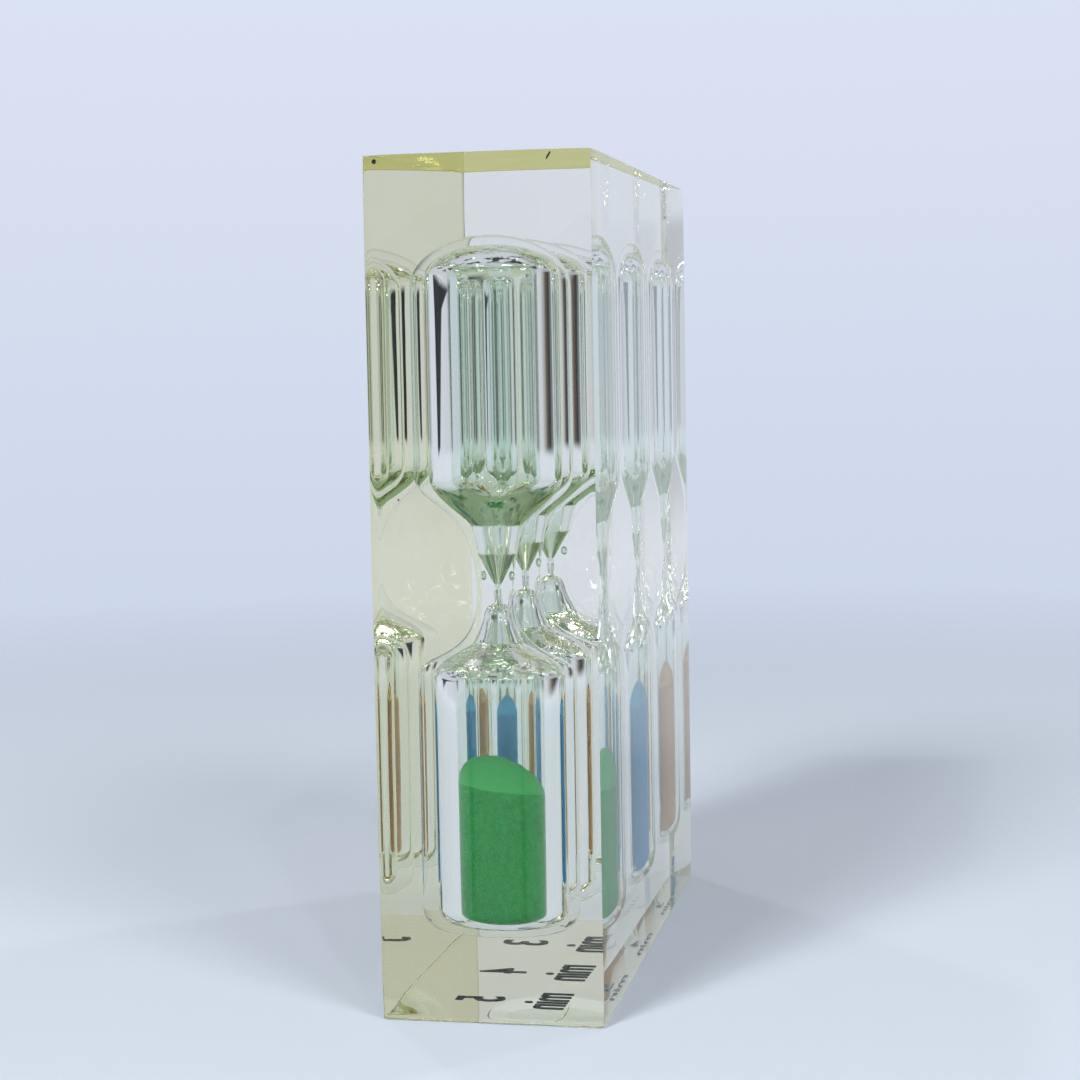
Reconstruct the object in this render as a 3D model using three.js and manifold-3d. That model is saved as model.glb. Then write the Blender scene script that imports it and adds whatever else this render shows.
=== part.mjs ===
// Triple sand timer: three glass sand vials cast side by side in one clear block.
// Millimetres, +Z up. The origin is the centre of the block's underside, X runs along the row of vials,
// and the front of the block faces -Y.
import * as THREE from "three";
import { mergeVertices } from "three/addons/utils/BufferGeometryUtils.js";
import Module from "manifold-3d";

const wasm = await Module();
wasm.setup();

// Glass vial, one of three alike
const VIAL_RADIUS = 9.5;
const GLASS_WALL = 1.5;
const CROWN_WALL = 1.0;
const HEEL_WALL = 0.6;
const LOWER_LENGTH = 40.2; // throat centre down to the underside of the vial
const UPPER_LENGTH = 42.0; // throat centre up to the crown of the vial
const LOWER_SHOULDER = 10.0; // throat centre down to the straight wall of the lower bulb
const UPPER_SHOULDER = 14.5; // throat centre up to the straight wall of the upper bulb
const CROWN_RISE = 6.0; // domed upper end
const HEEL_RISE = 2.4; // rounded edge of the flat lower end
const THROAT_RADIUS = 2.9; // outside of the waist
const FUNNEL_RADIUS = 2.6; // inside of the waist, above and below the bore
const BORE_RADIUS = 0.37;
const BORE_LENGTH = 1.8;
const FUNNEL_LENGTH = 3.1; // from the end of the bore to the full funnel radius

// Fill hole in the crown and the glass seal that closes it
const FILL_HOLE_RADIUS = 2.8;
const SEAL_TAPER = 0.5;
const SEAL_GAP = 0.2;

// Sand charges: height of the rim above the bulb's floor, in the order of the row
const GREEN_FILL = 17.5;
const BLUE_FILL = 22.5;
const ORANGE_FILL = 21.6;
const HEAP_HEIGHT = 2.2;
const HEAP_CREST = 0.35; // share of the heap's radius that its rounded crest takes
const SAND_GAP = 0.3;

// Clear block, sized by the vials and the plastic around them
const VIAL_PITCH = 24;
const END_COVER = 4.5;
const SIDE_COVER = 3.7;
const FLOOR_COVER = 8.8;
const ROOF_COVER = 9.0;
const ROW_OFFSET_X = 2; // hand casting leaves the row a little off the block's centre
const ROW_OFFSET_Y = 1;
const EDGE_RADIUS = 0.4;
const CAST_GAP = 0.2;

// Facets
const ROUND_SEGMENTS = 24;
const CURVE_STEPS = 7;
const DOME_STEPS = 4;
const EDGE_STEPS = 2;
const MERGE_DISTANCE = 1e-4;

// Shape of the curves, as shares of the stretch that each one covers
const UPPER_SWEEP = 0.9; // how far the slim waist carries on before it opens into the upper shoulder
const LOWER_SWEEP = 0.93; // the same for the lower shoulder
const UPPER_FUNNEL_SWEEP = 0.67; // the same for the inside of the glass, above the throat
const LOWER_FUNNEL_SWEEP = 0.5; // and below it
const FUNNEL_EASE = 0.2; // how far the funnel's two ends run straight before they bend into its slope
const SHOULDER_ROUND = 0.34; // how far the straight wall bends into the shoulder
const HEEL_FLAT = 0.75; // share of the lower end's radius that is flat
const ELLIPSE_PULL = 0.5523; // handle length that makes a cubic curve follow a quarter ellipse

// Sizes that follow from the ones above
const BLOCK_LENGTH = 2 * (VIAL_PITCH + VIAL_RADIUS + END_COVER);
const BLOCK_DEPTH = 2 * (VIAL_RADIUS + SIDE_COVER);
const BLOCK_HEIGHT = FLOOR_COVER + LOWER_LENGTH + UPPER_LENGTH + ROOF_COVER;
const THROAT_Z = FLOOR_COVER + LOWER_LENGTH;
const INNER_RADIUS = VIAL_RADIUS - GLASS_WALL;
const INNER_CROWN_RISE = (CROWN_RISE * INNER_RADIUS) / VIAL_RADIUS;
const INNER_HEEL_RISE = (HEEL_RISE * INNER_RADIUS) / VIAL_RADIUS;

// Profiles are drawn with x as the radius and y as the height above the throat.

// Curve from a waist of one radius out to a straight wall of another, going up (+1) or down (-1).
function shoulder(path, waist, wall, start, end, sweep, side) {
  const rise = (end - start) * sweep;
  const drop = (end - start) * SHOULDER_ROUND;
  path.moveTo(waist, side * start);
  path.bezierCurveTo(waist, side * (start + rise), wall, side * (end - drop), wall, side * end);
}

// Quarter ellipse from a straight wall to the flat middle of an end, and on to the axis.
function dome(path, wall, tip, rise, side) {
  const base = tip - rise;
  const flat = side < 0 ? wall * HEEL_FLAT : 0;
  path.lineTo(wall, side * base);
  path.bezierCurveTo(
    wall,
    side * (base + rise * ELLIPSE_PULL),
    flat + (wall - flat) * ELLIPSE_PULL,
    side * tip,
    flat,
    side * tip,
  );
  path.lineTo(0, side * tip);
}

// Points of one bulb, from its waist to the axis.
function halfBulb(waist, wall, start, shoulderEnd, tip, rise, sweep, side) {
  const neck = new THREE.Path();
  shoulder(neck, waist, wall, start, shoulderEnd, sweep, side);
  const cap = new THREE.Path();
  cap.moveTo(wall, side * shoulderEnd);
  dome(cap, wall, tip, rise, side);
  return [...neck.getPoints(CURVE_STEPS), ...cap.getPoints(DOME_STEPS).slice(1)];
}

// Outside of the vial from its underside to its crown, grown by a gap.
function outerProfile(gap) {
  const radius = VIAL_RADIUS + gap;
  const waist = THROAT_RADIUS + gap;
  const foot = LOWER_LENGTH + gap;
  const crown = UPPER_LENGTH + gap;
  const lower = halfBulb(waist, radius, 0, LOWER_SHOULDER, foot, HEEL_RISE, LOWER_SWEEP, -1);
  const upper = halfBulb(waist, radius, 0, UPPER_SHOULDER, crown, CROWN_RISE, UPPER_SWEEP, 1);
  return [...lower.reverse(), ...upper.slice(1)];
}

// Half of the space inside the vial, from the middle of the bore to the axis.
function innerHalf(shoulderEnd, tip, rise, sweep, side) {
  const mouth = BORE_LENGTH / 2;
  const full = mouth + FUNNEL_LENGTH;
  const ease = FUNNEL_LENGTH * FUNNEL_EASE;
  const bore = new THREE.Path();
  bore.moveTo(BORE_RADIUS, 0);
  bore.lineTo(BORE_RADIUS, side * mouth);
  bore.bezierCurveTo(
    BORE_RADIUS,
    side * (mouth + ease),
    FUNNEL_RADIUS,
    side * (full - ease),
    FUNNEL_RADIUS,
    side * full,
  );
  const bulb = halfBulb(FUNNEL_RADIUS, INNER_RADIUS, full, shoulderEnd, tip, rise, sweep, side);
  return [...bore.getPoints(DOME_STEPS - 1).slice(1), ...bulb.slice(1)];
}

// Inside of the vial from the floor of the lower bulb to the crown of the upper one.
function innerProfile() {
  const floor = LOWER_LENGTH - HEEL_WALL;
  const roof = UPPER_LENGTH - CROWN_WALL;
  const lower = innerHalf(LOWER_SHOULDER, floor, INNER_HEEL_RISE, LOWER_FUNNEL_SWEEP, -1);
  const upper = innerHalf(UPPER_SHOULDER, roof, INNER_CROWN_RISE, UPPER_FUNNEL_SWEEP, 1);
  return [...lower.reverse(), ...upper];
}

// Height of a profile's upper dome at a radius.
function domeHeight(radius, wall, tip, rise) {
  return tip - rise + rise * Math.sqrt(1 - (radius / wall) ** 2);
}

function outerCrown(radius) {
  return domeHeight(radius, VIAL_RADIUS, UPPER_LENGTH, CROWN_RISE);
}

function innerCrown(radius) {
  return domeHeight(radius, INNER_RADIUS, UPPER_LENGTH - CROWN_WALL, INNER_CROWN_RISE);
}

// Solid of revolution about Z, turned half a facet so that no corner lies on the parting plane.
function revolve(points) {
  const turned = new THREE.LatheGeometry(points, ROUND_SEGMENTS, Math.PI / ROUND_SEGMENTS);
  return turned.rotateX(Math.PI / 2);
}

// The vial is open at its fill hole, whose wall tapers inwards.
function vialGeometry() {
  const holeTop = FILL_HOLE_RADIUS + SEAL_TAPER;
  const inside = innerProfile().filter((p) => p.y < UPPER_SHOULDER || p.x > FILL_HOLE_RADIUS);
  const outside = outerProfile(0).filter((p) => p.y < UPPER_SHOULDER || p.x > holeTop);
  const rim = [
    new THREE.Vector2(FILL_HOLE_RADIUS, innerCrown(FILL_HOLE_RADIUS)),
    new THREE.Vector2(holeTop, outerCrown(holeTop)),
  ];
  return revolve([...outside, ...rim.reverse(), ...inside.reverse()]);
}

// The seal is a tapered glass button with the crown's own curve above and below.
function sealGeometry() {
  const top = FILL_HOLE_RADIUS + SEAL_TAPER - SEAL_GAP;
  const bottom = FILL_HOLE_RADIUS - SEAL_GAP;
  return revolve([
    new THREE.Vector2(0, innerCrown(0)),
    new THREE.Vector2(bottom / 2, innerCrown(bottom / 2)),
    new THREE.Vector2(bottom, innerCrown(bottom)),
    new THREE.Vector2(top, outerCrown(top)),
    new THREE.Vector2(top / 2, outerCrown(top / 2)),
    new THREE.Vector2(0, outerCrown(0)),
  ]);
}

// A sand charge fills the lower bulb to its rim and is heaped in the middle, as the stream leaves it.
function sandGeometry(fill) {
  const radius = INNER_RADIUS - SAND_GAP;
  const floor = LOWER_LENGTH - HEEL_WALL - SAND_GAP;
  const rim = LOWER_LENGTH - HEEL_WALL - fill;
  const bed = new THREE.Path();
  bed.moveTo(radius, -rim);
  dome(bed, radius, floor, INNER_HEEL_RISE, -1);
  const heap = new THREE.Path();
  const crest = radius * HEAP_CREST;
  heap.moveTo(radius, -rim);
  heap.quadraticCurveTo(crest, HEAP_HEIGHT - rim, 0, HEAP_HEIGHT - rim);
  return revolve([
    ...bed.getPoints(DOME_STEPS).reverse(),
    ...heap.getPoints(DOME_STEPS).slice(1),
  ]);
}

function solidFrom(geometry) {
  const bare = geometry.clone();
  bare.deleteAttribute("normal");
  bare.deleteAttribute("uv");
  const merged = mergeVertices(bare, MERGE_DISTANCE);
  return new wasm.Manifold(
    new wasm.Mesh({
      numProp: 3,
      vertProperties: merged.attributes.position.array,
      triVerts: new Uint32Array(merged.index.array),
    }),
  );
}

function geometryFrom(solid) {
  const mesh = solid.getMesh();
  const geometry = new THREE.BufferGeometry();
  geometry.setAttribute("position", new THREE.BufferAttribute(mesh.vertProperties, mesh.numProp));
  geometry.setIndex(new THREE.BufferAttribute(mesh.triVerts, 1));
  geometry.computeVertexNormals();
  return geometry;
}

// Whole block with its polished edges just broken.
function blockSolid() {
  const halfLength = BLOCK_LENGTH / 2 - EDGE_RADIUS;
  const halfDepth = BLOCK_DEPTH / 2 - EDGE_RADIUS;
  const face = new THREE.Shape();
  face.moveTo(-halfLength, -halfDepth);
  face.lineTo(halfLength, -halfDepth);
  face.lineTo(halfLength, halfDepth);
  face.lineTo(-halfLength, halfDepth);
  const geometry = new THREE.ExtrudeGeometry(face, {
    depth: BLOCK_HEIGHT - 2 * EDGE_RADIUS,
    bevelThickness: EDGE_RADIUS,
    bevelSize: EDGE_RADIUS,
    bevelSegments: EDGE_STEPS,
  });
  return solidFrom(geometry.translate(0, 0, EDGE_RADIUS));
}

// Everything on one side of the parting plane, which runs through the vials' axes.
function sideOfParting(side) {
  const box = new THREE.BoxGeometry(2 * BLOCK_LENGTH, BLOCK_DEPTH, 3 * BLOCK_HEIGHT);
  return solidFrom(box.translate(0, ROW_OFFSET_Y + (side * BLOCK_DEPTH) / 2, 0));
}

// Each pour is half of the block less half of every vial.
function pourGeometry(side) {
  let pour = blockSolid().intersect(sideOfParting(side));
  for (const { x } of ROW) {
    const recess = revolve(outerProfile(CAST_GAP)).translate(x, ROW_OFFSET_Y, THROAT_Z);
    pour = pour.subtract(solidFrom(recess));
  }
  return geometryFrom(pour);
}

const ROW = [
  { colour: "green", x: ROW_OFFSET_X - VIAL_PITCH, fill: GREEN_FILL, tint: 0x2f8a4c },
  { colour: "blue", x: ROW_OFFSET_X, fill: BLUE_FILL, tint: 0x4a86b4 },
  { colour: "orange", x: ROW_OFFSET_X + VIAL_PITCH, fill: ORANGE_FILL, tint: 0xc48a5e },
];

const clearPlastic = new THREE.MeshStandardMaterial({
  color: 0xdfe3d2,
  roughness: 0.08,
  metalness: 0,
  transparent: true,
  opacity: 0.25,
});
const clearGlass = new THREE.MeshStandardMaterial({
  color: 0xe6eeea,
  roughness: 0.02,
  metalness: 0,
  transparent: true,
  opacity: 0.3,
});

function sandMaterial(tint) {
  return new THREE.MeshStandardMaterial({ color: tint, roughness: 0.95, metalness: 0 });
}

const timer = new THREE.Group();
timer.name = "sand_timer";

function place(parent, name, geometry, material) {
  const mesh = new THREE.Mesh(geometry, material);
  mesh.name = name;
  parent.add(mesh);
}

place(timer, "block_front", pourGeometry(-1), clearPlastic);
place(timer, "block_rear", pourGeometry(1), clearPlastic);

for (const { colour, x, fill, tint } of ROW) {
  const column = new THREE.Group();
  column.position.set(x, ROW_OFFSET_Y, THROAT_Z);
  timer.add(column);
  place(column, `${colour}_vial`, vialGeometry(), clearGlass);
  place(column, `${colour}_seal`, sealGeometry(), clearGlass);
  place(column, `${colour}_sand`, sandGeometry(fill), sandMaterial(tint));
}

export default timer;
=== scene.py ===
import math

import bpy
import bmesh
from mathutils import Matrix, Vector, noise


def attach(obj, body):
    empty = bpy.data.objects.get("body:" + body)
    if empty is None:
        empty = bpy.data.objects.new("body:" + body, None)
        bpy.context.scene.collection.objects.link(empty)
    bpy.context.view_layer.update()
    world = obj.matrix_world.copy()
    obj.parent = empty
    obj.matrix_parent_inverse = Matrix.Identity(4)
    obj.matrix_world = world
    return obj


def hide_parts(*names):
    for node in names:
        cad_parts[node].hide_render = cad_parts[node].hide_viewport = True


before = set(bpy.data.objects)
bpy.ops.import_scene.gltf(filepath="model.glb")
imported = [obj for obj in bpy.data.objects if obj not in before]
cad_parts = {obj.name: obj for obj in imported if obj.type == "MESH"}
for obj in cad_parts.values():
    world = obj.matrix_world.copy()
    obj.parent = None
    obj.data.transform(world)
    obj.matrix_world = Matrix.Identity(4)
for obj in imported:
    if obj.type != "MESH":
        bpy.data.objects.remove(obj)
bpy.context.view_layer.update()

MM = 0.001
scene = bpy.context.scene

# Sizes in millimetres. The block, the bulbs' walls and ends and all places are the part's own.
# The necks, the inside of the glass and the sand are shaped more finely than in the part's source.
BLOCK = (76.0, 26.4, 100.0)
ROW_X = {"green": -22.0, "blue": 2.0, "orange": 26.0}
ROW_Y = 1.0
INNER_Y = ROW_Y - 0.32  # the inside of the glass and the sand sit a little off the outside's axis
VIAL_RADIUS = 9.5
INNER_RADIUS = 8.0  # a wall of 1.5
CROWN_WALL = 1.0
HEEL_WALL = 0.6
VIAL_FOOT = 8.8
VIAL_CROWN = 91.0
THROAT_Z = 49.0
UPPER_SHOULDER = 63.5
LOWER_SHOULDER = 39.0
CROWN_RISE = 6.0
HEEL_RISE = 2.4
HEEL_FLAT = 0.75  # share of the lower end's radius
THROAT_RADIUS = 2.2
INNER_CROWN_RISE = 3.5
BOND = 0.04  # from a vial to the plastic round it

# Shape of the shoulders outside, as shares of their height
UPPER_SWEEP = 0.8
LOWER_SWEEP = 0.85
SHOULDER_ROUND = 0.34

# Inside of the glass from the bore to the bulbs' walls, as curves of (radius, height above the throat)
UPPER_FUNNEL = (
    ((0.43, 1.1), (0.6, 1.45), (2.1, 4.25), (2.35, 4.75)),
    ((2.35, 4.75), (2.6, 5.9), (2.9, 7.0), (3.15, 8.1)),
    ((3.15, 8.1), (3.3, 8.75), (8.0, 11.4), (8.0, 13.6)),
)
LOWER_FUNNEL = (
    ((0.43, -1.2), (1.1, -1.25), (1.62, -1.7), (1.75, -2.9)),
    ((1.75, -2.9), (2.0, -3.8), (2.65, -5.1), (3.0, -5.8)),
    ((3.0, -5.8), (3.3, -6.4), (8.0, -7.7), (8.0, -10.0)),
)


# Curves

def bezier(p0, p1, p2, p3, steps):
    points = []
    for i in range(steps + 1):
        t = i / steps
        s = 1 - t
        points.append(tuple(
            s ** 3 * a + 3 * s * s * t * b + 3 * s * t * t * c + t ** 3 * d
            for a, b, c, d in zip(p0, p1, p2, p3)
        ))
    return points


ELLIPSE = 0.5523  # handle length that makes a curve follow a quarter ellipse
TINY = 1e-6


def bulb_end(wall, shoulder, tip, rise, flat):
    """Profile of a bulb from its shoulder along the wall to the axis at height tip, flat near the axis."""
    up = 1 if tip > shoulder else -1
    base = tip - up * rise
    wall_run = [(wall, shoulder + (base - shoulder) * i / 6) for i in range(1, 6)]
    cap = bezier(
        (wall, base),
        (wall, base + up * rise * ELLIPSE),
        (flat + (wall - flat) * ELLIPSE, tip),
        (flat, tip),
        14,
    )
    middle = [(flat * (1 - i / 4), tip) for i in range(1, 5)] if flat else []
    return wall_run + cap + middle


def bulb(waist, wall, start, shoulder, tip, rise, flat, sweep):
    """Profile of the outside of one bulb, from its waist at height start to the axis at height tip."""
    up = 1 if tip > start else -1
    length = abs(shoulder - start)
    neck = bezier(
        (waist, start),
        (waist, start + up * length * sweep),
        (wall, shoulder - up * length * SHOULDER_ROUND),
        (wall, shoulder),
        24,
    )
    return neck + bulb_end(wall, shoulder, tip, rise, flat)


def outer_profile(gap=0.0):
    waist, wall = THROAT_RADIUS + gap, VIAL_RADIUS + gap
    foot, crown = VIAL_FOOT - gap, VIAL_CROWN + gap
    lower = bulb(waist, wall, THROAT_Z, LOWER_SHOULDER, foot, HEEL_RISE, wall * HEEL_FLAT, LOWER_SWEEP)
    upper = bulb(waist, wall, THROAT_Z, UPPER_SHOULDER, crown, CROWN_RISE, 0.0, UPPER_SWEEP)
    return lower[::-1] + upper[1:]


def inner_half(curves, tip, rise, flat):
    """Profile of the inside of one bulb, from the bore's mouth to the axis at height tip."""
    radius, height = curves[0][0]
    points = [(radius, THROAT_Z + height)]
    for curve in curves:
        points += [(r, THROAT_Z + h) for r, h in bezier(*curve, 16)[1:]]
    return points + bulb_end(INNER_RADIUS, points[-1][1], tip, rise, flat)


def inner_profile():
    floor, roof = VIAL_FOOT + HEEL_WALL, VIAL_CROWN - CROWN_WALL
    heel = HEEL_RISE * INNER_RADIUS / VIAL_RADIUS
    lower = inner_half(LOWER_FUNNEL, floor, heel, INNER_RADIUS * HEEL_FLAT)
    upper = inner_half(UPPER_FUNNEL, roof, INNER_CROWN_RISE, 0.0)
    return lower[::-1] + upper


# Two bubbles that drawing left in the neck of each vial
BUBBLE_AWAY = 1.72
BUBBLE_Z = 51.1
BUBBLE_RADIUS = 0.36
BUBBLE_REACH = 0.55
BUBBLE_STEPS = 12
BUBBLE_SEGMENTS = 20


def bubble_profile():
    turns = [math.pi * i / BUBBLE_STEPS for i in range(BUBBLE_STEPS + 1)]
    points = [(BUBBLE_RADIUS * math.sin(a), BUBBLE_Z - BUBBLE_REACH * math.cos(a)) for a in turns]
    return [(0.0, points[0][1])] + points[1:-1] + [(0.0, points[-1][1])]


# Drawn glass is uneven where it was worked hot: (height, reach, depth of the waves) of each stretch
WORKED = (
    (LOWER_SHOULDER + 3.0, 5.0, 0.045),
    (UPPER_SHOULDER - 4.0, 5.0, 0.03),
    (VIAL_CROWN - 3.5, 3.5, 0.05),
)
WAVE = 1.9  # length of the waves


def uneven(cx, cy, seed):
    """Moves a point of the inside of the glass by the waves that working it left."""
    def shape(px, py, pz):
        dx, dy = px - cx, py - cy
        radius = math.hypot(dx, dy)
        swell = sum(depth * max(0.0, 1 - ((pz - at) / reach) ** 2) for at, reach, depth in WORKED)
        if swell <= 0.0 or radius < TINY:
            return px, py, pz
        place = Vector((dx, dy, pz)) / WAVE + Vector((seed, 2 * seed, 0.0))
        grow = 1 + swell * noise.noise(place) / radius
        return cx + dx * grow, cy + dy * grow, pz
    return shape


# Meshes

def lathe(bm, profile, cx, cy, slot=0, inward=False, segments=96, shape=None):
    """Adds a closed surface of revolution about a vertical axis. shape may move a point."""
    rings = []
    for r, z in profile:
        if r < TINY:
            p = (cx, cy, z) if shape is None else shape(cx, cy, z)
            rings.append([bm.verts.new(Vector(p) * MM)])
            continue
        ring = []
        for i in range(segments):
            a = 2 * math.pi * i / segments
            p = (cx + r * math.cos(a), cy + r * math.sin(a), z)
            ring.append(bm.verts.new(Vector(p if shape is None else shape(*p)) * MM))
        rings.append(ring)
    for a, b in zip(rings, rings[1:]):
        for i in range(segments):
            j = (i + 1) % segments
            if len(a) == 1:
                loop = (a[0], b[j], b[i])
            elif len(b) == 1:
                loop = (a[i], a[j], b[0])
            else:
                loop = (a[i], a[j], b[j], b[i])
            face = bm.faces.new(loop[::-1] if inward else loop)
            face.smooth = True
            face.material_index = slot


def make_piece(name, bm, materials, body, replaces=()):
    mesh = bpy.data.meshes.new(name)
    bm.normal_update()
    bm.to_mesh(mesh)
    bm.free()
    for m in materials:
        mesh.materials.append(m)
    obj = bpy.data.objects.new(name, mesh)
    scene.collection.objects.link(obj)
    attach(obj, body)
    if replaces:
        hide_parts(*replaces)


# Polished faces are buffed away a little towards their edges: (depth, reach) for each face and direction
BUFF = {
    (0, 2): (0.6, 16.0),
    (0, 1): (0.10, 5.0),
    (1, 0): (0.10, 6.0),
    (1, 2): (0.10, 6.0),
    (2, 0): (0.08, 5.0),
    (2, 1): (0.08, 5.0),
}
FROM_EDGE = (0.0, 0.3, 0.6, 1.0, 1.8, 2.8, 4.0, 5.5, 7.5, 10.0, 13.0)
GRID_STEP = 4.0
SHARP = math.radians(40)


def edge_drop(face, along, distance):
    depth, reach = BUFF[face, along]
    return depth * max(0.0, 1 - distance / reach) ** 2


def grid_lines(half):
    """Places of a face's grid lines from one edge to the other, close together near the edges."""
    near = [d for d in FROM_EDGE if d < half - 1.0]
    start = half - near[-1]
    count = max(2, int(round(2 * start / GRID_STEP)))
    inner = [-start + 2 * start * i / count for i in range(1, count)]
    return [d - half for d in near] + inner + [half - d for d in reversed(near)]


def buffed_box(bm):
    """Adds the outside of the block."""
    halves = [s / 2 for s in BLOCK]
    lines = [grid_lines(h) for h in halves]
    found = {}

    def vertex(p):
        key = tuple(round(c, 5) for c in p)
        if key not in found:
            q = list(p)
            for k in range(3):
                if abs(abs(p[k]) - halves[k]) < TINY:
                    drop = sum(edge_drop(k, j, halves[j] - abs(p[j])) for j in range(3) if j != k)
                    q[k] -= math.copysign(drop, p[k])
            found[key] = bm.verts.new(Vector((q[0], q[1], q[2] + halves[2])) * MM)
        return found[key]

    for k in range(3):
        u, v = [j for j in range(3) if j != k]
        for sign in (-1, 1):
            for u0, u1 in zip(lines[u], lines[u][1:]):
                for v0, v1 in zip(lines[v], lines[v][1:]):
                    corners = []
                    for a, b in ((u0, v0), (u1, v0), (u1, v1), (u0, v1)):
                        p = [0.0, 0.0, 0.0]
                        p[k], p[u], p[v] = sign * halves[k], a, b
                        corners.append(vertex(p))
                    forward = (sign > 0) == (k != 1)
                    face = bm.faces.new(corners if forward else corners[::-1])
                    face.smooth = True
                    face.material_index = 0
    bm.normal_update()
    for edge in bm.edges:
        edge.smooth = edge.calc_face_angle(0.0) < SHARP


# Materials

def new_material(name):
    material = bpy.data.materials.new(name)
    material.use_nodes = True
    tree = material.node_tree
    tree.nodes.clear()
    output = tree.nodes.new("ShaderNodeOutputMaterial")
    return material, tree, output


def add(tree, kind, **settings):
    """A node with its properties (_name) and sockets (i0 or name) set. A (node, output) is linked."""
    node = tree.nodes.new(kind)
    for key, value in settings.items():
        if key.startswith("_"):
            setattr(node, key[1:], value)
            continue
        numbered = key[0] == "i" and key[1:].isdigit()
        socket = node.inputs[int(key[1:]) if numbered else key]
        if isinstance(value, tuple) and len(value) == 2 and isinstance(value[0], bpy.types.Node):
            tree.links.new(value[0].outputs[value[1]], socket)
        else:
            socket.default_value = value
    return node


def maths(tree, operation, a, b=0.0, c=0.0):
    return add(tree, "ShaderNodeMath", _operation=operation, i0=a, i1=b, i2=c)


def mix(tree, share, a, b):
    """A blend of two colours. Its result is output 2."""
    return add(tree, "ShaderNodeMix", _data_type="RGBA", Factor=share, A=a, B=b)


def span(tree, value, start, end, low=0.0, high=1.0, smooth=False):
    """A value that goes from low to high while the given one goes from start to end."""
    return add(
        tree, "ShaderNodeMapRange", _interpolation_type="SMOOTHSTEP" if smooth else "LINEAR", Value=value,
        **{"From Min": start, "From Max": end, "To Min": low, "To Max": high},
    )


def ramp_of(tree, value, stops):
    """A colour ramp over a value, with (position, grey or colour) stops."""
    node = add(tree, "ShaderNodeValToRGB", Fac=value)
    elements = node.color_ramp.elements
    while len(elements) > 1:
        elements.remove(elements[-1])
    for i, (position, colour) in enumerate(stops):
        stop = elements[0] if i == 0 else elements.new(position)
        stop.position = position
        stop.color = (*colour, 1.0) if isinstance(colour, tuple) else (colour, colour, colour, 1.0)
    return node


def grain(tree, scale, detail=1.0):
    """Noise that is fixed to the piece."""
    place = add(tree, "ShaderNodeTexCoord")
    return add(tree, "ShaderNodeTexNoise", Vector=(place, "Object"), Scale=scale, Detail=detail)


def place_of(tree):
    """The X, Y and Z of a point of the piece, in metres."""
    place = add(tree, "ShaderNodeTexCoord")
    return add(tree, "ShaderNodeSeparateXYZ", Vector=(place, "Object"))


GRAZING = 0.06  # least share of straight crossing, so that the flattest paths stay finite
FREE_PATH = 0.9  # path that shows no tint, in units of a straight crossing


def path_tint(tree, tint, outside, depth=1.0):
    """Colour that a tinted layer gives light crossing it: the flatter the crossing, the deeper the tint."""
    weight = add(tree, "ShaderNodeLayerWeight", Blend=0.5)
    side = add(tree, "ShaderNodeNewGeometry")
    straight = maths(tree, "SUBTRACT", 1.0, (weight, "Facing"))
    kept = maths(tree, "MAXIMUM", (straight, 0), GRAZING)
    length = maths(tree, "DIVIDE", 1.0, (kept, 0))
    extra = maths(tree, "SUBTRACT", (length, 0), FREE_PATH + outside)
    shared = maths(tree, "MULTIPLY", (extra, 0), (side, "Backfacing"))
    crossed = maths(tree, "ADD", (shared, 0), outside)
    total = maths(tree, "MULTIPLY", (crossed, 0), depth)
    channels = [maths(tree, "POWER", c, (total, 0)) for c in tint]
    return add(
        tree, "ShaderNodeCombineColor",
        Red=(channels[0], 0), Green=(channels[1], 0), Blue=(channels[2], 0),
    )


ACRYLIC_IOR = 1.49
ACRYLIC_TINT = (0.981, 0.979, 0.932)  # yellowed with age
ACRYLIC_BODY = (0.70, 0.64, 0.44, 1.0)
AGED_HEIGHT = 0.07  # metres, over which the plastic is more yellowed towards the top


def block_material():
    material, tree, output = new_material("clear_acrylic")
    waves = grain(tree, 70.0)
    bump = add(tree, "ShaderNodeBump", Strength=0.25, Distance=0.00004, Height=(waves, "Fac"))
    aged = span(tree, (place_of(tree), "Z"), 0.0, AGED_HEIGHT, 0.6, 0.85)
    depth = maths(tree, "MULTIPLY_ADD", (grain(tree, 120.0), "Fac"), 0.3, (aged, "Result"))
    tint = path_tint(tree, ACRYLIC_TINT, 0.6, (depth, 0))
    glass = add(
        tree, "ShaderNodeBsdfGlass",
        Color=(tint, "Color"), Roughness=0.0, IOR=ACRYLIC_IOR, Normal=(bump, "Normal"),
    )
    body = add(tree, "ShaderNodeVolumeAbsorption", Color=ACRYLIC_BODY, Density=2.0)
    tree.links.new(glass.outputs[0], output.inputs["Surface"])
    tree.links.new(body.outputs[0], output.inputs["Volume"])
    return material


def bond_material():
    """The plastic's own wall round a vial can't be seen, because glass and plastic are bonded."""
    material, tree, output = new_material("bonded_wall")
    clear = add(tree, "ShaderNodeBsdfTransparent", Color=(1.0, 1.0, 1.0, 1.0))
    tree.links.new(clear.outputs[0], output.inputs["Surface"])
    return material


def draw_lines(tree):
    """Height of the fine upright lines that drawing leaves in a glass tube."""
    place = add(tree, "ShaderNodeTexCoord")
    stretch = add(tree, "ShaderNodeMapping", Vector=(place, "Object"))
    stretch.inputs["Scale"].default_value = (1.0, 1.0, 0.02)
    return add(tree, "ShaderNodeTexNoise", Vector=(stretch, "Vector"), Scale=420.0, Detail=1.0)


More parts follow.
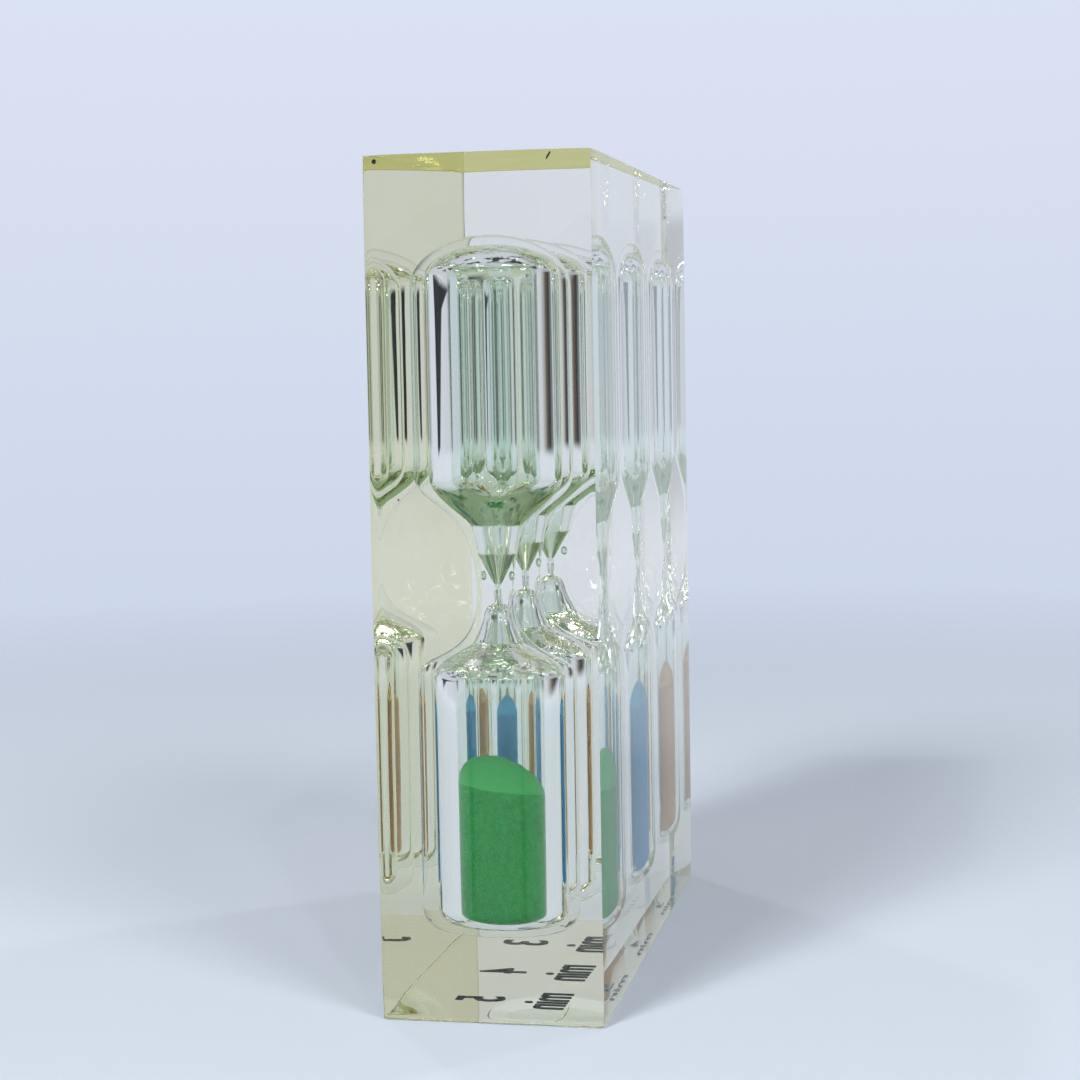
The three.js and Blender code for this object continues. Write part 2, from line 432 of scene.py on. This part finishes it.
# How much the glass was worked hot, over the height in units of 100 mm, and where the neck's sloped inside
# gets a painted green glow of light from the sand
WORKED_HOT = (
    (0.0, 0.0), (0.37, 0.0), (0.395, 0.7), (0.43, 0.7), (0.44, 0.2), (0.46, 0.2), (0.475, 0.8),
    (0.50, 0.1), (0.57, 0.1), (0.60, 0.3), (0.63, 0.0), (0.85, 0.0), (0.87, 0.3), (0.90, 0.3),
)
NECK_SAND_GLOW = ((0.0, 0.0), (0.495, 0.0), (0.5, 1.0), (0.61, 1.0), (0.625, 0.0))
PER_100_MM = 10.0
SKIN_TINT = (0.990, 0.995, 0.993)
SKIN_IOR = 0.99  # from plastic into glass
WALL_IOR = 1.48  # from glass into air
# Tint of light that passes the inner wall, and of light that it turns back: plain wall, and neck with a
# painted green glow of light from the sand
PASSED = ((0.918, 0.968, 0.944, 1.0), (0.86, 0.93, 0.82, 1.0))
TURNED = ((0.985, 0.992, 0.99, 1.0), (0.42, 0.56, 0.34, 1.0))


def vial_outside_material():
    material, tree, output = new_material("vial_outside")
    tint = path_tint(tree, SKIN_TINT, 1.0)
    lines = draw_lines(tree)
    bump = add(tree, "ShaderNodeBump", Strength=0.06, Distance=0.00005, Height=(lines, "Fac"))
    skin = add(
        tree, "ShaderNodeBsdfGlass",
        Color=(tint, "Color"), Roughness=0.0, IOR=SKIN_IOR, Normal=(bump, "Normal"),
    )
    tree.links.new(skin.outputs[0], output.inputs["Surface"])
    return material


def vial_inside_material():
    material, tree, output = new_material("vial_inside")
    height = maths(tree, "MULTIPLY", (place_of(tree), "Z"), PER_100_MM)
    worked = ramp_of(tree, (height, 0), WORKED_HOT)
    ripple = grain(tree, 1500.0)
    lines = draw_lines(tree)
    geometry = add(tree, "ShaderNodeNewGeometry")
    normal = add(tree, "ShaderNodeSeparateXYZ", Vector=(geometry, "Normal"))
    level = maths(tree, "ABSOLUTE", (normal, "Z"))
    sloped = span(tree, (level, 0), 0.25, 0.5)
    drawn = maths(tree, "MULTIPLY", (lines, "Fac"), 0.05)
    swell = maths(tree, "MULTIPLY", (worked, "Color"), (sloped, "Result"))
    relief = maths(tree, "MULTIPLY_ADD", (ripple, "Fac"), (swell, 0), (drawn, 0))
    rough = add(tree, "ShaderNodeBump", Strength=1.0, Distance=0.0001, Height=(relief, 0))
    mirror = add(tree, "ShaderNodeFresnel", IOR=WALL_IOR, Normal=(rough, "Normal"))
    neck = ramp_of(tree, (height, 0), NECK_SAND_GLOW)
    # Painted light: the neck's sloped inside is tinted green, as if lit by light from the sand
    sand_glow = maths(tree, "MULTIPLY", (sloped, "Result"), (neck, "Color"))
    passed = mix(tree, (sand_glow, 0), *PASSED)
    turned = mix(tree, (sand_glow, 0), *TURNED)
    tint = mix(tree, (mirror, 0), (passed, 2), (turned, 2))
    wall = add(
        tree, "ShaderNodeBsdfGlass",
        Color=(tint, 2), Roughness=0.0, IOR=WALL_IOR, Normal=(rough, "Normal"),
    )
    tree.links.new(wall.outputs[0], output.inputs["Surface"])
    return material


def sand_material(name, dark, mid, light, painted_top_light):
    material, tree, output = new_material(name)
    place = add(tree, "ShaderNodeTexCoord")
    grains = add(tree, "ShaderNodeTexVoronoi", Vector=(place, "Object"), Scale=4200.0)
    pick = add(tree, "ShaderNodeSeparateColor", Color=(grains, "Color"))
    drift = maths(tree, "MULTIPLY_ADD", (grain(tree, 260.0, 4.0), "Fac"), 0.2, -0.1)
    level = maths(tree, "ADD", (pick, "Red"), (drift, 0))
    shade = ramp_of(tree, (level, 0), ((0.05, dark), (0.5, mid), (0.95, light)))
    bump = add(tree, "ShaderNodeBump", Strength=0.4, Distance=0.0001, Height=(grains, "Distance"))
    facing = add(tree, "ShaderNodeNewGeometry")
    upward = add(tree, "ShaderNodeSeparateXYZ", Vector=(facing, "Normal"))
    # Painted light: sand that faces upward is made lighter, as if lit from above
    top_light_share = span(tree, (upward, "Z"), 0.4, 0.8, 0.0, 0.7)
    top_lit = mix(tree, (top_light_share, "Result"), (shade, "Color"), (*painted_top_light, 1.0))
    body = add(
        tree, "ShaderNodeBsdfPrincipled",
        Roughness=0.9, Normal=(bump, "Normal"), **{"Base Color": (top_lit, 2), "Specular IOR Level": 0.0},
    )
    tree.links.new(body.outputs[0], output.inputs["Surface"])
    return material


INK = ((0.35, (0.012, 0.020, 0.017)), (0.7, (0.05, 0.07, 0.06)))
WORN_INK = (0.36, 0.42, 0.38, 1.0)


def ink_material():
    material, tree, output = new_material("printed_ink")
    fresh = ramp_of(tree, (grain(tree, 900.0, 3.0), "Fac"), INK)
    worn = span(tree, (place_of(tree), "X"), -0.015, 0.025, 0.0, 0.5)
    shade = mix(tree, (worn, "Result"), (fresh, "Color"), WORN_INK)
    body = add(tree, "ShaderNodeBsdfPrincipled", Roughness=0.7, **{"Base Color": (shade, 2)})
    tree.links.new(body.outputs[0], output.inputs["Surface"])
    return material


# Pieces

def block_piece():
    bm = bmesh.new()
    buffed_box(bm)
    for x in ROW_X.values():
        lathe(bm, outer_profile(BOND), x, ROW_Y, slot=1, inward=True)
    make_piece(
        "clear_block", bm, [block_material(), bond_material()], "timer",
        replaces=("block_front", "block_rear"),
    )


def vial_piece(colour, x, look):
    bm = bmesh.new()
    lathe(bm, outer_profile(), x, ROW_Y, slot=0)
    lathe(bm, inner_profile(), x, INNER_Y, slot=1, inward=True, shape=uneven(x, INNER_Y, x))
    for side in (-1, 1):
        y = INNER_Y + side * BUBBLE_AWAY
        lathe(bm, bubble_profile(), x, y, slot=1, inward=True, segments=BUBBLE_SEGMENTS)
    make_piece(
        f"{colour}_vial_glass", bm, look, "timer",
        replaces=(f"{colour}_vial", f"{colour}_seal"),
    )


block_piece()
vial_look = [vial_outside_material(), vial_inside_material()]
for colour, x in ROW_X.items():
    vial_piece(colour, x, vial_look)

# Dark, middle and light grains, and a lighter colour painted on upward-facing sand as light from above
SAND_LOOK = {
    "green": ((0.004, 0.29, 0.040), (0.005, 0.345, 0.05), (0.014, 0.40, 0.07), (0.07, 0.52, 0.14)),
    "blue": ((0.016, 0.28, 0.66), (0.02, 0.33, 0.75), (0.04, 0.39, 0.80), (0.08, 0.47, 0.83)),
    "orange": ((0.73, 0.35, 0.11), (0.84, 0.42, 0.14), (0.88, 0.48, 0.19), (0.90, 0.58, 0.30)),
}
# Height of the rim, heap and tilt of each charge, and the direction in which it rises
SAND_FORM = {
    "green": (26.8, 1.3, 1.2, math.radians(68)),
    "blue": (31.8, 2.0, 0.2, math.radians(200)),
    "orange": (30.9, 2.0, 0.2, math.radians(120)),
}
SAND_RADIUS = INNER_RADIUS - 0.1
SAND_FLOOR = VIAL_FOOT + HEEL_WALL + 0.08
SAND_FLAT = 6.0  # radius of the flat part of its bed
SAND_ROUND = 2.0  # height of the bed's rounded edge
HEAP_STEPS = 28
HEAP_POWER = 1.7


def sand_piece(colour, x):
    rim, heap, tilt, rise = SAND_FORM[colour]
    wall_foot = SAND_FLOOR + SAND_ROUND
    bed = [(SAND_FLAT * i / 4, SAND_FLOOR) for i in range(4)] + bezier(
        (SAND_FLAT, SAND_FLOOR),
        (SAND_FLAT + (SAND_RADIUS - SAND_FLAT) * ELLIPSE, SAND_FLOOR),
        (SAND_RADIUS, SAND_FLOOR + SAND_ROUND * (1 - ELLIPSE)),
        (SAND_RADIUS, wall_foot),
        12,
    )
    side = [(SAND_RADIUS, wall_foot + (rim - 0.3 - wall_foot) * i / 12) for i in range(1, 13)]
    top = [(SAND_RADIUS - 0.06, rim - 0.08)]
    for i in range(1, HEAP_STEPS + 1):
        s = 1 - i / HEAP_STEPS
        top.append((SAND_RADIUS * s * 0.985, rim + heap * (1 - s ** HEAP_POWER)))
    top[-1] = (0.0, top[-1][1])

    def shape(px, py, pz):
        share = min(1.0, max(0.0, (pz - SAND_FLOOR - 3.0) / (rim - SAND_FLOOR - 3.0)))
        dx, dy = px - x, py - INNER_Y
        along = (dx * math.cos(rise) + dy * math.sin(rise)) / SAND_RADIUS
        pz += tilt * along * share
        if pz > rim - 1.5 and math.hypot(dx, dy) < SAND_RADIUS - 0.2:
            pz += 0.16 * noise.noise(Vector((px, py, 7.0)) * 0.55)
            pz += 0.05 * noise.noise(Vector((px, py, 3.0)) * 2.2)
        return px, py, pz

    bm = bmesh.new()
    lathe(bm, bed + side + top, x, INNER_Y, shape=shape)
    look = sand_material(f"{colour}_grains", *SAND_LOOK[colour])
    make_piece(
        f"{colour}_sand_heap", bm, [look], f"{colour}_charge",
        replaces=(f"{colour}_sand",),
    )


for colour, x in ROW_X.items():
    sand_piece(colour, x)


# Minute marks printed on the underside, to be read from below
MARK_X = {"5": -20.75, "4": -0.6, "3": 20.0}
DIGIT = (3.95, 6.0, 3.3)  # place along Y, height and width
UNIT = (-4.2, 5.2, 10.8)
INK_Z = 0.045
INK_DEPTH = 0.02


def letters_mesh(name, text):
    """Mesh of a word in Blender's own plain letters, slightly heavier than they are."""
    curve = bpy.data.curves.new(name, "FONT")
    curve.body = text
    curve.align_x = "CENTER"
    curve.align_y = "CENTER"
    curve.offset = 0.012
    curve.fill_mode = "BOTH"
    curve.extrude = 0.01
    letters = bpy.data.objects.new(name + "_text", curve)
    scene.collection.objects.link(letters)
    mesh = bpy.data.meshes.new_from_object(letters.evaluated_get(bpy.context.evaluated_depsgraph_get()))
    bpy.data.objects.remove(letters)
    return mesh


def print_mark(name, text, look, x, y, height, width):
    mesh = letters_mesh(name, text)
    lows, highs = [], []
    for k in range(3):
        along = [v.co[k] for v in mesh.vertices]
        lows.append(min(along))
        highs.append(max(along))
    sizes = (-width, height, INK_DEPTH)
    for v in mesh.vertices:
        p = [(v.co[k] - (lows[k] + highs[k]) / 2) * sizes[k] / (highs[k] - lows[k]) for k in range(3)]
        v.co = Vector((x + p[0], y + p[1], INK_Z + p[2])) * MM
    bm = bmesh.new()
    bm.from_mesh(mesh)
    bpy.data.meshes.remove(mesh)
    bmesh.ops.reverse_faces(bm, faces=bm.faces)
    bmesh.ops.remove_doubles(bm, verts=bm.verts, dist=1e-7)
    make_piece(name, bm, [look], "timer")


ink = ink_material()
for digit, x in MARK_X.items():
    print_mark(f"mark_{digit}", digit, ink, x, *DIGIT)
    print_mark(f"mark_{digit}_min", "min", ink, x, *UNIT)


# Wear on the near face: (y, z, width) along each flaw, and (y, z, radius) of each fleck
FLAWS = {
    "flaw_line": (
        (11.9, 0.9, 0.2), (11.4, 1.8, 0.3), (10.73, 2.94, 0.16), (9.53, 4.32, 0.09), (6.79, 7.1, 0.07),
        (4.43, 9.64, 0.11), (3.6, 10.35, 0.22), (3.2, 10.7, 0.06),
    ),
    "flaw_curl": (
        (-7.3, 0.48, 0.06), (-8.0, 0.85, 0.14), (-8.44, 1.28, 0.18), (-8.85, 2.0, 0.1), (-9.03, 2.62, 0.05),
    ),
    "edge_chip": ((-8.02, 98.8, 0.1), (-8.2, 99.15, 0.24), (-8.5, 99.62, 0.2)),
}
FLECKS = {"fleck_top": (11.84, 99.2, 0.28), "fleck_side": (9.75, 60.87, 0.12)}
WEAR_INSET = 0.06
FLAW_DEPTH = 0.02
FLECK_DEPTH = 0.03
FLECK_SIDES = 20


def face_x(y, z):
    """Place of the buffed near face at one point of it, just inside the plastic."""
    half = BLOCK[2] / 2
    drop = edge_drop(0, 1, BLOCK[1] / 2 - abs(y)) + edge_drop(0, 2, half - abs(z - half))
    return drop - BLOCK[0] / 2 + WEAR_INSET


def grime_material(name, dark, light):
    material, tree, output = new_material(name)
    shade = ramp_of(tree, (grain(tree, 1500.0, 3.0), "Fac"), ((0.3, dark), (0.7, light)))
    body = add(tree, "ShaderNodeBsdfPrincipled", Roughness=0.8, **{"Base Color": (shade, "Color")})
    tree.links.new(body.outputs[0], output.inputs["Surface"])
    return material


def flaw(name, points, look):
    """A thin sliver with a diamond section along the points."""
    bm = bmesh.new()
    rings = []
    for i, (y, z, width) in enumerate(points):
        before, after = points[max(0, i - 1)], points[min(len(points) - 1, i + 1)]
        along = Vector((0.0, after[0] - before[0], after[1] - before[1])).normalized()
        across = Vector((0.0, -along.z, along.y)) * width / 2
        middle = Vector((face_x(y, z), y, z))
        deep = Vector((FLAW_DEPTH, 0.0, 0.0))
        rings.append([bm.verts.new((middle + side) * MM) for side in (across, deep, -across, -deep)])
    for a, b in zip(rings, rings[1:]):
        for i in range(4):
            j = (i + 1) % 4
            bm.faces.new((a[i], a[j], b[j], b[i]))
    bm.faces.new(rings[0][::-1])
    bm.faces.new(rings[-1])
    bmesh.ops.recalc_face_normals(bm, faces=bm.faces)
    make_piece(name, bm, [look], "timer")


def fleck(name, y, z, radius, look):
    """A small flat speck with an uneven edge."""
    bm = bmesh.new()
    middle = Vector((face_x(y, z), y, z))
    tips = [bm.verts.new((middle + Vector((d, 0.0, 0.0))) * MM) for d in (-FLECK_DEPTH, FLECK_DEPTH)]
    ring = []
    for i in range(FLECK_SIDES):
        a = 2 * math.pi * i / FLECK_SIDES
        reach = radius * (1 + 0.12 * noise.noise(Vector((math.cos(a), math.sin(a), y))))
        ring.append(bm.verts.new((middle + Vector((0.0, reach * math.cos(a), reach * math.sin(a)))) * MM))
    for i in range(FLECK_SIDES):
        j = (i + 1) % FLECK_SIDES
        bm.faces.new((tips[0], ring[j], ring[i]))
        bm.faces.new((tips[1], ring[i], ring[j]))
    make_piece(name, bm, [look], "timer")


olive = grime_material("flaw_haze", (0.50, 0.50, 0.32), (0.68, 0.68, 0.50))
grime = grime_material("dark_grime", (0.008, 0.009, 0.008), (0.03, 0.033, 0.025))
for name, points in FLAWS.items():
    flaw(name, points, grime if name == "edge_chip" else olive)
for name, (y, z, radius) in FLECKS.items():
    fleck(name, y, z, radius, grime)


# Stage: a pale paper floor that fades into the backdrop, in metres

FLOOR_RINGS = (0.03, 0.08, 0.16, 0.28, 0.42, 0.6, 0.85, 1.3, 2.2, 4.0)
FLOOR_SIDES = 72
FLOOR_DROP = 0.00005
FLOOR_FADE = (0.15, 0.45)
PAPER = (0.64, 0.695, 0.775, 1.0)
PAPER_IN_GLASS = (0.62, 0.68, 0.74, 1.0)


def floor_mesh():
    bm = bmesh.new()
    last = [bm.verts.new((0.0, 0.0, 0.0))]
    for r in FLOOR_RINGS:
        turns = [2 * math.pi * i / FLOOR_SIDES for i in range(FLOOR_SIDES)]
        ring = [bm.verts.new((r * math.cos(a), r * math.sin(a), 0.0)) for a in turns]
        for i in range(FLOOR_SIDES):
            j = (i + 1) % FLOOR_SIDES
            if len(last) == 1:
                bm.faces.new((last[0], ring[i], ring[j]))
            else:
                bm.faces.new((last[i], ring[i], ring[j], last[j]))
        last = ring
    mesh = bpy.data.meshes.new("floor")
    bm.to_mesh(mesh)
    bm.free()
    return mesh


def floor_material():
    material, tree, output = new_material("paper_floor")
    fibre = grain(tree, 900.0, 4.0)
    bump = add(tree, "ShaderNodeBump", Strength=0.08, Distance=0.0002, Height=(fibre, "Fac"))
    paper = add(tree, "ShaderNodeBsdfDiffuse", Color=PAPER, Normal=(bump, "Normal"))
    rays = add(tree, "ShaderNodeLightPath")
    pale = add(tree, "ShaderNodeEmission", Color=PAPER_IN_GLASS, Strength=1.0)
    share = maths(tree, "MULTIPLY", (rays, "Is Transmission Ray"), 0.8)
    near = add(tree, "ShaderNodeMixShader", Fac=(share, 0), i1=(paper, 0), i2=(pale, 0))
    clear = add(tree, "ShaderNodeBsdfTransparent")
    place = add(tree, "ShaderNodeTexCoord")
    away = add(tree, "ShaderNodeVectorMath", _operation="LENGTH", i0=(place, "Object"))
    fade = span(tree, (away, "Value"), *FLOOR_FADE, smooth=True)
    faded = add(tree, "ShaderNodeMixShader", Fac=(fade, "Result"), i1=(near, 0), i2=(clear, 0))
    tree.links.new(faded.outputs[0], output.inputs["Surface"])
    return material


def stage_floor():
    mesh = floor_mesh()
    mesh.materials.append(floor_material())
    floor = bpy.data.objects.new("floor", mesh)
    floor.location.z = -FLOOR_DROP
    scene.collection.objects.link(floor)


stage_floor()


# World: a pale backdrop for the camera, even soft light, and a studio with dark parts for the glass to show

ROOM = (
    # degrees left of the backdrop's middle, colour
    (-180, (0.34, 0.36, 0.40)),
    (-150, (0.55, 0.57, 0.62)),
    (-112, (0.65, 0.68, 0.74)),
    (-76, (0.62, 0.65, 0.70)),
    (-68, (0.40, 0.41, 0.42)),
    (-62, (0.24, 0.24, 0.23)),
    (-57, (0.11, 0.07, 0.05)),
    (-51, (0.09, 0.06, 0.05)),
    (-48, (0.014, 0.014, 0.025)),
    (-41, (0.02, 0.02, 0.03)),
    (-36, (0.10, 0.12, 0.11)),
    (-23, (0.17, 0.20, 0.18)),
    (-18, (0.66, 0.71, 0.83)),
    (-5, (0.66, 0.71, 0.83)),
    (6, (0.72, 0.77, 0.89)),
    (50, (0.68, 0.73, 0.86)),
    (80, (0.66, 0.70, 0.80)),
    (126, (0.58, 0.61, 0.68)),
    (140, (0.34, 0.36, 0.40)),
    (180, (0.34, 0.36, 0.40)),
)


FLAG = (0.008, 0.011, 0.016, 1.0)
FLAG_NEAR = (60, -40)  # degrees left at eye level, and degrees more for each unit of rise
FLAG_FAR = (86, 260)
UPPER_WALL = (0.55, 0.58, 0.64, 1.0)
CEILING = ((0.0, (0.62, 0.66, 0.74)), (0.52, (0.62, 0.66, 0.74)), (0.58, (0.03, 0.035, 0.04)))
TABLE = (0.72, 0.77, 0.88, 1.0)
BACKDROP_LOW = (0.60, 0.665, 0.815, 1.0)
BACKDROP_HIGH = (0.73, 0.78, 0.915, 1.0)
SOFT_LIGHT = (0.29, 0.305, 0.335, 1.0)


def slanted(tree, rise, side):
    """The share of a full turn at which a slanted side of the flag stands, for each rise."""
    degrees, slope = side
    return maths(tree, "MULTIPLY_ADD", rise, slope / 360, 0.5 + degrees / 360)


def dark_flag(tree, share, rise):
    """A dark upright flag at the left, which widens towards its top."""
    past = maths(tree, "SUBTRACT", share, (slanted(tree, rise, FLAG_NEAR), 0))
    short = maths(tree, "SUBTRACT", (slanted(tree, rise, FLAG_FAR), 0), share)
    left = span(tree, (past, 0), -0.006, 0.006, smooth=True)
    right = span(tree, (short, 0), -0.008, 0.008, smooth=True)
    low = span(tree, rise, 0.16, 0.10, smooth=True)
    sides = maths(tree, "MULTIPLY", (left, "Result"), (right, "Result"))
    return maths(tree, "MULTIPLY", (sides, 0), (low, "Result"))


def studio_colour(tree, place, split):
    """What the glass and plastic show of the room."""
    rise = (split, "Z")
    turn = maths(tree, "ARCTAN2", (split, "Y"), (split, "X"))
    share = (maths(tree, "MULTIPLY_ADD", (turn, 0), 1 / (2 * math.pi), 0.5), 0)
    walls = ramp_of(tree, share, [((angle + 180) / 360, colour) for angle, colour in ROOM])
    flagged = mix(tree, (dark_flag(tree, share, rise), 0), (walls, "Color"), FLAG)
    high = span(tree, rise, 0.14, 0.24, 0.0, 0.7, smooth=True)
    paled = mix(tree, (high, "Result"), (flagged, 2), UPPER_WALL)
    cloud = add(tree, "ShaderNodeTexNoise", Vector=(place, "Generated"), Scale=2.4, Detail=1.0)
    gaps = ramp_of(tree, (cloud, "Fac"), CEILING)
    overhead = span(tree, rise, 0.42, 0.62, smooth=True)
    roofed = mix(tree, (overhead, "Result"), (paled, 2), (gaps, "Color"))
    below = span(tree, rise, -0.045, -0.095, smooth=True)
    return mix(tree, (below, "Result"), (roofed, 2), TABLE)


def build_world():
    world = bpy.data.worlds.new("studio")
    scene.world = world
    world.use_nodes = True
    tree = world.node_tree
    tree.nodes.clear()
    output = tree.nodes.new("ShaderNodeOutputWorld")
    place = add(tree, "ShaderNodeTexCoord")
    split = add(tree, "ShaderNodeSeparateXYZ", Vector=(place, "Generated"))
    studio = studio_colour(tree, place, split)
    height = span(tree, (split, "Z"), -0.16, 0.22)
    backdrop = mix(tree, (height, "Result"), BACKDROP_LOW, BACKDROP_HIGH)
    rays = add(tree, "ShaderNodeLightPath")
    glassy = maths(tree, "MAXIMUM", (rays, "Is Glossy Ray"), (rays, "Is Transmission Ray"))
    soft = mix(tree, (glassy, 0), SOFT_LIGHT, (studio, 2))
    seen = mix(tree, (rays, "Is Camera Ray"), (soft, 2), (backdrop, 2))
    light = add(tree, "ShaderNodeBackground", Color=(seen, 2), Strength=1.0)
    tree.links.new(light.outputs[0], output.inputs["Surface"])


build_world()


# Lamps: place, size across and power, all aimed near the middle of the object
LAMPS = {
    "key_left": ((-0.70, 0.28, 0.70), 0.30, 5.4),
    "key_right": ((-0.51, -0.55, 0.70), 0.36, 3.4),
    "spot_front_left": ((-0.70, 0.30, 0.85), 0.045, 0.8),
    "spot_front_right": ((-0.75, -0.35, 0.80), 0.045, 0.8),
    "spot_back_left": ((0.50, 0.40, 0.95), 0.045, 0.8),
    "spot_back_right": ((0.45, -0.45, 0.90), 0.045, 0.8),
}
AIM = Vector((0.0, 0.0, 0.04))


def lamp(name, place, size, energy):
    data = bpy.data.lights.new(name, "AREA")
    data.shape = "DISK"
    data.size = size
    data.energy = energy
    obj = bpy.data.objects.new(name, data)
    scene.collection.objects.link(obj)
    obj.location = place
    obj.rotation_euler = (AIM - Vector(place)).to_track_quat("-Z", "Y").to_euler()
    obj.visible_camera = False


for name, (place, size, energy) in LAMPS.items():
    lamp(name, place, size, energy)


# Camera

CAMERA_TURNS = (11.5308, -4.99, -1.0541)  # yaw, pitch and roll in degrees
CAMERA_AT = (-0.28524, -0.05711, 0.07831)
FOCAL_PIXELS = 2244.2
FRAME_PIXELS = 1080
SENSOR = 36


def build_camera():
    yaw, pitch, roll = (math.radians(a) for a in CAMERA_TURNS)
    ahead = Vector((math.cos(pitch) * math.cos(yaw), math.cos(pitch) * math.sin(yaw), math.sin(pitch)))
    level = ahead.cross(Vector((0, 0, 1))).normalized()
    upright = level.cross(ahead)
    right = level * math.cos(roll) + upright * math.sin(roll)
    up = -level * math.sin(roll) + upright * math.cos(roll)
    data = bpy.data.cameras.new("camera")
    data.sensor_width = SENSOR
    data.lens = SENSOR * FOCAL_PIXELS / FRAME_PIXELS
    data.clip_start = 0.01
    obj = bpy.data.objects.new("camera", data)
    scene.collection.objects.link(obj)
    turn = Matrix((right, up, -ahead)).transposed()
    obj.matrix_world = Matrix.Translation(CAMERA_AT) @ turn.to_4x4()
    scene.camera = obj


build_camera()

scene.view_settings.view_transform = "Standard"
scene.cycles.max_bounces = 40
scene.cycles.transmission_bounces = 40
scene.cycles.glossy_bounces = 24
scene.cycles.diffuse_bounces = 4
scene.cycles.transparent_max_bounces = 48
